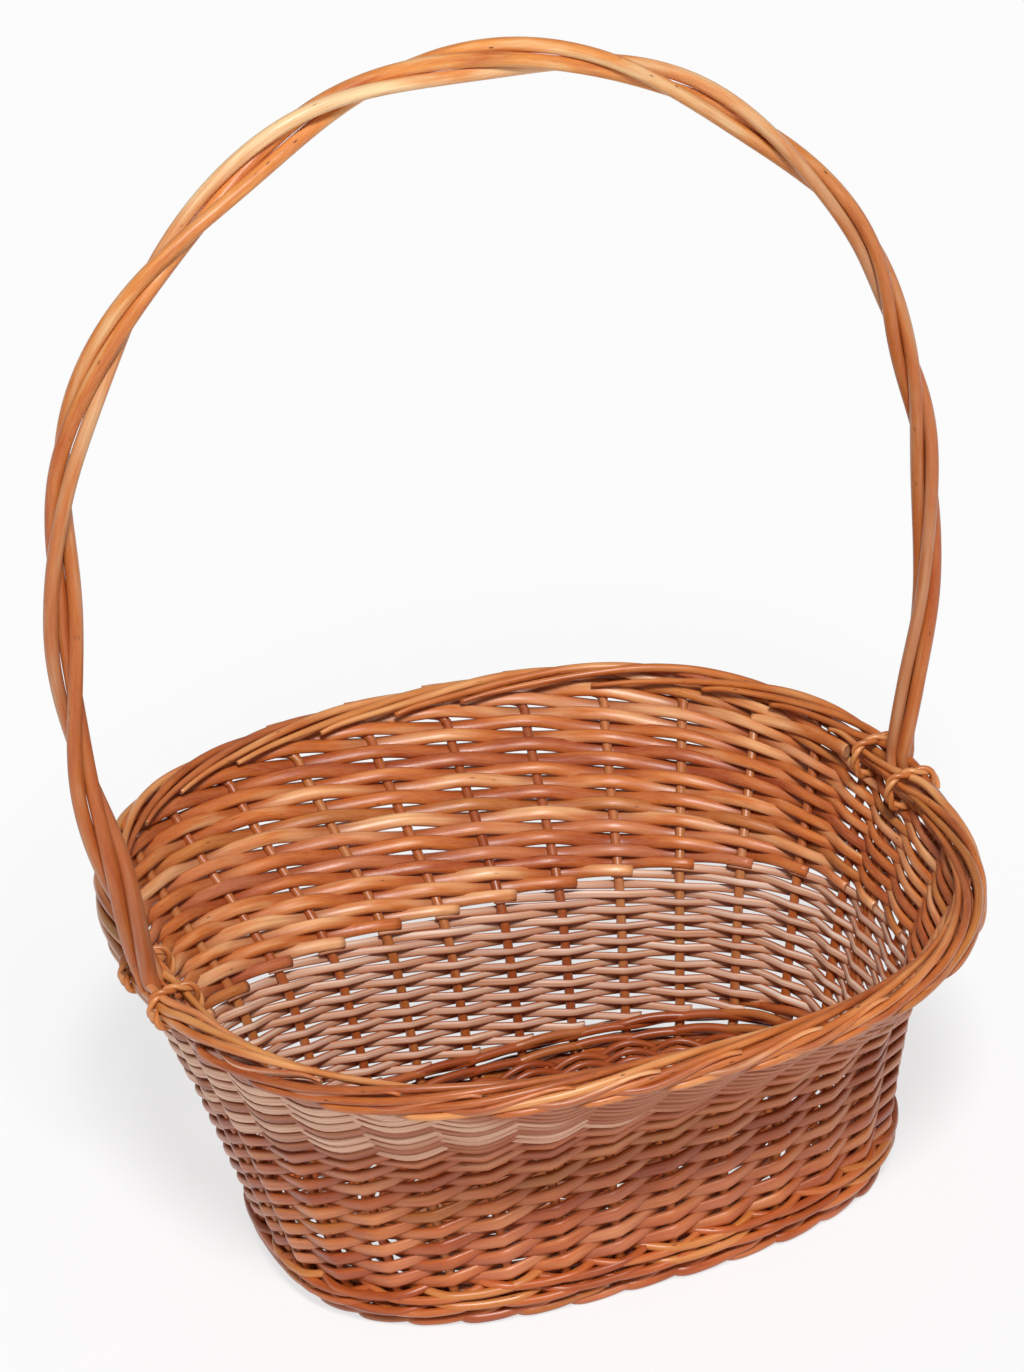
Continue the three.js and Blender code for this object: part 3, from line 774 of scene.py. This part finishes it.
up = np.array([0, 0, 1.0])
for index, aside in enumerate(long_stick_sides):
    reach = stick_reach(aside, sticks_half[1], sticks_half[0], base_squareness)
    points = smooth_route([(x, aside, base_level) for x in (-reach, 0, reach)], long_stick_steps)
    facing = np.tile(up, (long_stick_steps, 1))
    radii = np.full(long_stick_steps, long_stick_radius)
    bend_rods(f"long_stick_{index + 1}", [(points, facing, radii, luck.random(), base_shade)],
              [f"base_long_stick_{index + 1}"], [stick_bark, cut_end])
for index, aside in enumerate(short_stick_sides):
    reach = stick_reach(aside, sticks_half[0], sticks_half[1], base_squareness)
    hop = 2 * stick_radius + 0.1
    shape = ((-reach, 0), (-slath_edge - 7, 0), (-slath_edge + 1, hop), (0, hop), (slath_edge - 1, hop),
             (slath_edge + 7, 0), (reach, 0))
    points = smooth_route([(aside, y, base_level + z) for y, z in shape], short_stick_steps)
    facing = np.tile((1.0, 0, 0), (short_stick_steps, 1))
    radii = np.full(short_stick_steps, stick_radius)
    bend_rods(f"short_stick_{index + 1}", [(points, facing, radii, luck.random(), base_shade)],
              [f"base_short_stick_{index + 1}"], [stick_bark, cut_end])

# Base weaving: pairs of thin brown rods over and under the sticks' ends, and the last rounds
# over and under the stakes' feet, which they bind to the base.
weave_radius = 1.95
inner_rounds = 7
inner_squareness = 3.0
inner_start = (62, 16)
inner_growth = (59, 65.5)
inner_steps = 980
outer_rounds = 3
outer_inset = 27.5
outer_apart = 4.1
outer_steps = 1080


def oval_at(turn, half, squareness):
    """The point of a squarish oval in each direction"""
    size = (np.abs(np.cos(turn) / half[0]) ** squareness + np.abs(np.sin(turn) / half[1]) ** squareness)
    size = size ** (-1 / squareness)
    return size * np.cos(turn), size * np.sin(turn)


def end_turns(half):
    """Directions of the sticks' ends seen from the middle, where one round crosses them"""
    turns = [0.0, math.pi]
    for x in short_stick_sides:
        y = stick_reach(x, half[0], half[1], inner_squareness)
        turns += [math.atan2(y, x) % (2 * math.pi), math.atan2(-y, x) % (2 * math.pi)]
    return sorted(turns)


inner_ends = 2 + 2 * len(short_stick_sides)
for which in (0, 1):
    points = []
    for i in range(inner_rounds * inner_ends + 1):
        row = which + 2 * i / inner_ends
        share = row / (2 * inner_rounds + 1)
        half = (inner_start[0] + inner_growth[0] * share, inner_start[1] + inner_growth[1] * share)
        turn = end_turns(half)[i % inner_ends] + 2 * math.pi * (i // inner_ends)
        lift = (1 if (i + which) % 2 == 0 else -1) * (stick_radius + weave_radius - 0.6)
        points.append((turn, half[0], half[1], lift))
    points = np.array(points)
    count = np.arange(len(points))
    fine = np.linspace(0, len(points) - 1, inner_steps)
    eased = np.floor(fine) + ease(fine - np.floor(fine))
    turn, half_x, half_y = (np.interp(fine, count, points[:, i]) for i in (0, 1, 2))
    lift = np.interp(eased, count, points[:, 3])
    x, y = oval_at(turn, (half_x, half_y), inner_squareness)
    route = np.stack((x, y, base_level + lift), -1)
    radii = np.full(inner_steps, weave_radius)
    inner = (route, np.tile(up, (inner_steps, 1)), radii, 0.3 + 0.4 * which, base_shade)
    bend_rods(f"base_weave_{which + 1}", [inner], [f"base_weaver_{which + 1}"],
              [brown_bark, cut_end], sides=6)
    step = np.linspace(which, which + outer_rounds * stake_count, outer_steps)
    inset = outer_inset - outer_apart * (step - which) / stake_count * 2 - outer_apart * which + which * 0.01
    around = stand(step)
    route = wall_place(around, 0) - level_outward(around) * inset[:, None]
    wave = np.cos(math.pi * step) * (1 if which == 0 else -1)
    route[:, 2] = base_level + wave * (stake_radius + weave_radius - 0.5)
    radii = np.full(outer_steps, weave_radius)
    outer = (route, np.tile(up, (outer_steps, 1)), radii, 0.5 + 0.3 * which, base_shade)
    bend_rods(f"base_edge_{which + 1}", [outer], [f"base_binder_{which + 1}"],
              [brown_bark, cut_end], sides=6)

# Handle: three thick whole rods twisted round each other. Their thinned tails go through the
# parted border and stand side by side in the wall, woven in as one stake.
handle_bark = bark_finish("handle willow bark", paint(255, 222, 168), paint(234, 148, 66),
                          paint(180, 68, 0), coat=0.25)
handle_half_width = 227
handle_rise = 425
handle_half_turns = 8.8
first_crossing = 0.064
tail_half_turns = 8
near_outside = 4.5
far_outside = 5.0
far_lean = -0.32
grip_radius = 3.65
tail_radius = 2.1
seat_thickening = 0.6
handle_steps = 480
# The bow's middle line: along the basket and up, as shares of its half width and its rise
handle_bow = (
    (0.926, 0.07), (0.985, 0.19), (1.01, 0.37), (0.98, 0.5), (0.92, 0.63), (0.78, 0.75),
    (0.55, 0.875), (0.3, 0.955), (0, 0.998), (-0.28, 0.992), (-0.53, 0.93), (-0.77, 0.825),
    (-0.93, 0.69), (-0.985, 0.5), (-0.99, 0.33), (-0.95, 0.18),
)
near_seat = beside_rim(handle_seat, 0.0, 0.0)
far_seat = beside_rim(handle_seat + handle_apart, 0.0, 0.0)
across_handle = unit(near_seat * (1, 1, 0))
beside_handle = unit(np.cross(level_outward(handle_seat, wall_height), (0, 0, -1)))


def tail_points(around, outside, lean):
    """One foot of the handle, up through the wall and leaning along the border by lean stakes"""
    points = [wall_place(around, height) for height in (18, 66, 80, 90, 100, 110)]
    points += [wall_place(around + lean * 0.2, 124), wall_place(around + lean * 0.45, 140)]
    for share, out, rise in ((0.7, 0.25, -22.0), (0.88, 0.6, -10.0), (1, 0.9, 0.0), (1.05, 1.2, 8.0)):
        points.append(beside_rim(around + lean * share, outside * out, rise))
    return points


handle_points = tail_points(handle_seat, near_outside, 0)
for across, rise in handle_bow:
    middle_top = (0, 0, wall_height + rise * handle_rise)
    handle_points.append(across_handle * across * handle_half_width + middle_top)
handle_points += tail_points(handle_seat + handle_apart, far_outside, far_lean)[::-1]
handle_middle = smooth_route(handle_points, handle_steps)
handle_walked = walked_length(handle_middle)
near_index = int(np.argmax(handle_middle[:, 2] > near_seat[2]))
far_index = handle_steps - 1 - int(np.argmax(handle_middle[::-1, 2] > far_seat[2]))
near_length = handle_walked[near_index]
far_length = handle_walked[far_index]
from_far = far_length - handle_walked
handle_above = np.minimum(handle_walked - near_length, from_far)
handle_share = np.clip((handle_walked - near_length) / (far_length - near_length), 0, 1)

# The rods swell above the border, lie tight at the right foot and spread at the left one
swell = ease((handle_above + 20) / 18)
seat_swell = ease((handle_above + 34) / 20)
tight = 1 - ease((handle_share - 0.26) / 0.16)
far_foot = (1 - ease(from_far / 170)) * swell
loose = ease((handle_above - 20) / 120) * (1 - tight) * ease((from_far - 120) / 160)
rod_radius = (tail_radius + seat_thickening * seat_swell) * (1 - swell) + grip_radius * swell
rod_radius = rod_radius * (1 - 0.07 * tight * swell)

# Gathering turns three rods side by side into a bundle, and the twist turns the bundle
gather = 0.683 + 0.34 * np.maximum(1 - ease(handle_above / 80), tight)
gather = gather * ease((handle_above + 26) / 22)
late = 0.034 * np.sin(np.clip(handle_share / 0.25, 0, 1) * math.pi) ** 2
twist = (handle_share - first_crossing - late) * handle_half_turns * math.pi
tail_twist = np.where(handle_share < 0.5, 0, tail_half_turns * math.pi)
twist = tail_twist + (twist - tail_twist) * ease((handle_above + 26) / 26)
handle_ahead = unit(np.gradient(handle_middle, axis=0))
handle_outward = unit(np.cross(handle_ahead, beside_handle))
handle_beside = unit(np.cross(handle_outward, handle_ahead))
# Painted shade on the bow's sides: full low down and none towards the lit top
handle_sides = 1 - ease((handle_above - 160) / 330)
# Each rod's place, letter, thickness and what the left foot adds to it, tone, and shade added there
handle_rods = (
    (-1, "a", 0.96, 0.2, 0.12, 0.14),
    (0, "b", 1.03, -0.1, 0.6, 0),
    (1, "c", 1.0, -0.06, 0.38, 0),
)
for which, letter, thickness, far_thickening, tone, far_shade in handle_rods:
    slack = 1.0 + (0.06 * np.sin(handle_walked / 62 + which * 2) + 0.02) * loose
    apart = 2 * rod_radius * slack
    sideways = which * apart * np.cos(gather)
    outwards = apart * np.sin(gather) * (-2 / 3 if which == 0 else 1 / 3)
    shift = (handle_beside * (sideways * np.cos(twist) - outwards * np.sin(twist))[:, None]
             + handle_outward * (sideways * np.sin(twist) + outwards * np.cos(twist))[:, None])
    radii = rod_radius * (thickness + far_thickening * far_foot)
    radii = radii * (1 + 0.03 * np.sin(handle_walked / 37 + which))
    # Painted shade: strong on the tails in the wall, less up the bow's sides, none at the top; rod a is
    # darker still at the left foot
    shade = np.where(handle_above < -16, 0.7, 0.64 * handle_sides + far_shade * far_foot)
    bend_rods(f"handle_rod_{letter}", [(handle_middle + shift, handle_outward, radii, tone, shade)],
              [f"handle_rod_{which + 2}"], [handle_bark, cut_end], sides=12)

# Ties: two thin skeins of willow twisted into a cord and wound once round the border on each
# side of each handle foot.
tie_bark = bark_finish("tie willow bark", paint(228, 162, 102), paint(206, 124, 62), paint(166, 80, 30))
tie_half = (11.8, 9.0)
tie_squareness = 3.0
tie_level = -6.6
tie_steps = 110
skein_radius = 1.5
skein_apart = 1.05
near_ties = handle_seat
far_ties = handle_seat + handle_apart + far_lean
for index, around in enumerate((near_ties - 0.5, near_ties + 0.5, far_ties - 0.5, far_ties + 0.5)):
    turn = np.linspace(-0.2, 2 * math.pi + 0.2, tie_steps)
    out, rise = oval_at(turn, tie_half, tie_squareness)
    drift = np.linspace(-1.4, 1.4, tie_steps) / 38
    points = beside_rim(around + drift, out, rise + tie_level)
    outward = unit(points - beside_rim(around, 0.0, tie_level))
    beside = unit(np.cross(np.gradient(points, axis=0), outward))
    radii = np.full(tie_steps, skein_radius)
    skeins = []
    for skein in (0, 1):
        lay = turn * 4 + skein * math.pi
        wound = points + (outward * np.cos(lay)[:, None] + beside * np.sin(lay)[:, None]) * skein_apart
        skeins.append((wound, outward, radii, 0.15 + 0.4 * skein, 0))
    bend_rods(f"tie_loop_{index + 1}", skeins, [f"tie_{index + 1}"], [tie_bark, cut_end])

# Floor, lamp and sky: a plain white table top, one broad soft sun from above the camera and
# an even pale sky, bright enough for a colour to look as it is written.
sheet = bmesh.new()
bmesh.ops.create_grid(sheet, x_segments=1, y_segments=1, size=12)
floor_mesh = bpy.data.meshes.new("floor")
sheet.to_mesh(floor_mesh)
sheet.free()
floor = bpy.data.objects.new("floor", floor_mesh)
bpy.context.scene.collection.objects.link(floor)
floor_paint, floor_tree, floor_shader = new_finish("white floor")
floor_shader.inputs["Base Color"].default_value = (0.93, 0.93, 0.93, 1)
floor_shader.inputs["Roughness"].default_value = 0.9
floor_shader.inputs["Specular IOR Level"].default_value = 0
floor_glow = floor_tree.nodes.new("ShaderNodeEmission")
floor_mix = floor_tree.nodes.new("ShaderNodeMixShader")
floor_out = floor_tree.nodes["Material Output"]


def seen_straight(tree):
    """One for what the camera sees, straight or in gloss or glass, and zero for other light"""
    rays = tree.nodes.new("ShaderNodeLightPath")
    seen = plus(tree, rays.outputs["Is Camera Ray"], rays.outputs["Is Glossy Ray"])
    return math_node(tree, "ADD", seen, rays.outputs["Is Transmission Ray"], clamp=True)


join(floor_tree, times(floor_tree, seen_straight(floor_tree), 0.72), floor_mix.inputs["Fac"])
join(floor_tree, floor_shader.outputs[0], floor_mix.inputs[1])
join(floor_tree, floor_glow.outputs[0], floor_mix.inputs[2])
join(floor_tree, floor_mix.outputs[0], floor_out.inputs["Surface"])
floor_mesh.materials.append(floor_paint)
sun_lamp = bpy.data.lights.new("sun", "SUN")
sun_lamp.energy = 2.9
sun_lamp.angle = math.radians(12)
sun = bpy.data.objects.new("sun", sun_lamp)
sun.rotation_euler = (math.radians(40), math.radians(-4), math.radians(-5))
bpy.context.scene.collection.objects.link(sun)
sky = bpy.data.worlds.new("sky")
sky.use_nodes = True
sky.node_tree.nodes["Background"].inputs["Color"].default_value = (1, 1, 1, 1)
sky.node_tree.nodes["Background"].inputs["Strength"].default_value = 0.26
bpy.context.scene.world = sky
bpy.context.scene.view_settings.view_transform = "Standard"
